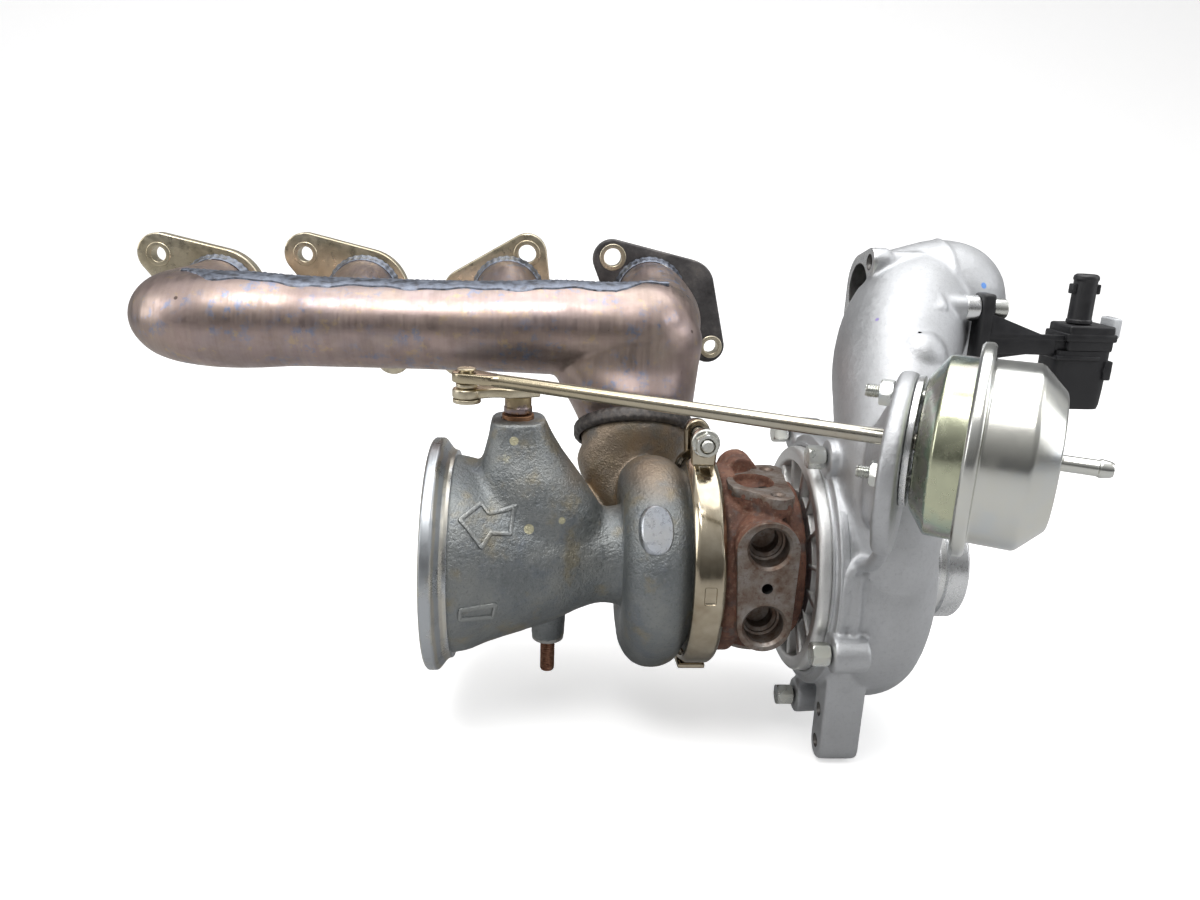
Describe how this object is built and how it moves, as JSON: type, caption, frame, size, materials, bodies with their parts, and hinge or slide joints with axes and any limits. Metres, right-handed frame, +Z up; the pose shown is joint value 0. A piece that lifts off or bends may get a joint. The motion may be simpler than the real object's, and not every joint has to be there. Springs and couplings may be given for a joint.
{
  "type": "turbocharger",
  "caption": "Exhaust turbocharger on a welded log manifold, with a vacuum wastegate actuator, pushrod and lever, V-band clamp and a bolted-on air switching valve.",
  "frame": {"origin": "at the mount manifold_flange_face, on the sealing face of port flange 1, 25.5 mm above its port centre. The shaft axis runs along X through (0.320, -0.155, -0.1385) m", "axes": "+X along the shaft from turbine to compressor, +Y towards the engine (the port flanges face +Y), +Z up as installed with the manifold above"},
  "size_m": [0.5351, 0.3075, 0.2552],
  "materials": {
    "heat_tinted_stainless": "stainless sheet gone brown and violet with heat, fine circumferential brushing",
    "straw_tinted_steel": "machined steel tinted straw by heat",
    "dark_scaled_steel": "steel with dark heat scale and a little rust",
    "cast_steel": "rough sand-cast heat-resistant steel",
    "rusted_cast_iron": "rusted casting with grey machined faces",
    "steel": "plain machined steel",
    "bronze": "bearing bronze",
    "polished_stainless": "smooth stainless strip with a faint straw tint",
    "zinc_plated_steel": "bright zinc plate",
    "yellow_zinc_steel": "yellow passivated zinc with green and pink tints",
    "cast_aluminium": "matte die-cast aluminium with fine grain",
    "machined_aluminium": "milled aluminium",
    "black_rubber": "moulded rubber",
    "black_plastic": "moulded black plastic",
    "clear_grey_plastic": "pale grey moulded plastic"
  },
  "bodies": {
    "turbocharger_body": {"exhaust_manifold_front_shell": "heat_tinted_stainless", "exhaust_manifold_rear_shell": "heat_tinted_stainless", "port_flange_1": "straw_tinted_steel", "port_flange_2": "straw_tinted_steel", "port_flange_3": "straw_tinted_steel", "port_flange_4": "dark_scaled_steel", "inlet_weld_collar": "dark_scaled_steel", "turbine_housing": "cast_steel", "support_stud": "dark_scaled_steel", "wastegate_bushing": "bronze", "bearing_housing": "rusted_cast_iron", "journal_bearing": "bronze", "thrust_bearing": "bronze", "oil_deflector": "steel", "heat_shield": "steel", "turbine_piston_ring": "steel", "clamp_band_front": "polished_stainless", "clamp_band_rear": "polished_stainless", "clamp_t_bolt": "zinc_plated_steel", "clamp_nut": "zinc_plated_steel", "clamp_hinge_link": "polished_stainless", "compressor_back_plate": "cast_aluminium", "back_plate_o_ring": "black_rubber", "cover_bolt_1": "zinc_plated_steel", "cover_bolt_2": "zinc_plated_steel", "cover_bolt_3": "zinc_plated_steel", "cover_bolt_4": "zinc_plated_steel", "cover_bolt_5": "zinc_plated_steel", "compressor_housing": "cast_aluminium", "actuator_front_can": "yellow_zinc_steel", "actuator_rear_can": "zinc_plated_steel", "actuator_diaphragm": "black_rubber", "actuator_nipple": "zinc_plated_steel", "actuator_stud_1": "zinc_plated_steel", "actuator_stud_2": "zinc_plated_steel", "actuator_nut_1": "zinc_plated_steel", "actuator_nut_2": "zinc_plated_steel", "actuator_spacer": "cast_aluminium", "actuator_spring": "steel", "switch_valve_bracket": "black_plastic", "switch_valve_body": "black_plastic", "switch_valve_hose_port": "black_plastic", "switch_valve_screw": "zinc_plated_steel", "switch_valve_plug_socket": "clear_grey_plastic"},
    "rotor": {"turbine_wheel_shaft": "steel", "compressor_wheel": "machined_aluminium", "compressor_lock_nut": "steel", "thrust_collar": "steel", "compressor_seal_sleeve": "steel"},
    "wastegate_arm": {"wastegate_spindle": "straw_tinted_steel", "wastegate_flap": "cast_steel", "wastegate_lever": "straw_tinted_steel", "lever_pin": "straw_tinted_steel", "lever_pin_washer": "straw_tinted_steel"},
    "actuator_rod_body": {"actuator_rod": "straw_tinted_steel", "actuator_piston": "zinc_plated_steel"}
  },
  "joints": [
    {"name": "rotor_spin", "type": "hinge", "parent": "turbocharger_body", "child": "rotor", "pos_m": [0.32, -0.155, -0.1385], "axis": [1, 0, 0], "continuous": true},
    {"name": "wastegate_turn", "type": "hinge", "parent": "turbocharger_body", "child": "wastegate_arm", "pos_m": [0.192, -0.155, -0.0535], "axis": [0, 0, 1], "range_deg": [0, 30]},
    {"name": "rod_pivot", "type": "hinge", "parent": "wastegate_arm", "child": "actuator_rod_body", "pos_m": [0.1675, -0.163, -0.0442], "axis": [0, 0, 1], "range_deg": [-28, 0], "deforming": ["actuator_spring"]}
  ],
  "couplings": [
    {"joint": "rod_pivot", "follows": "wastegate_turn", "ratio": -0.93}
  ]
}
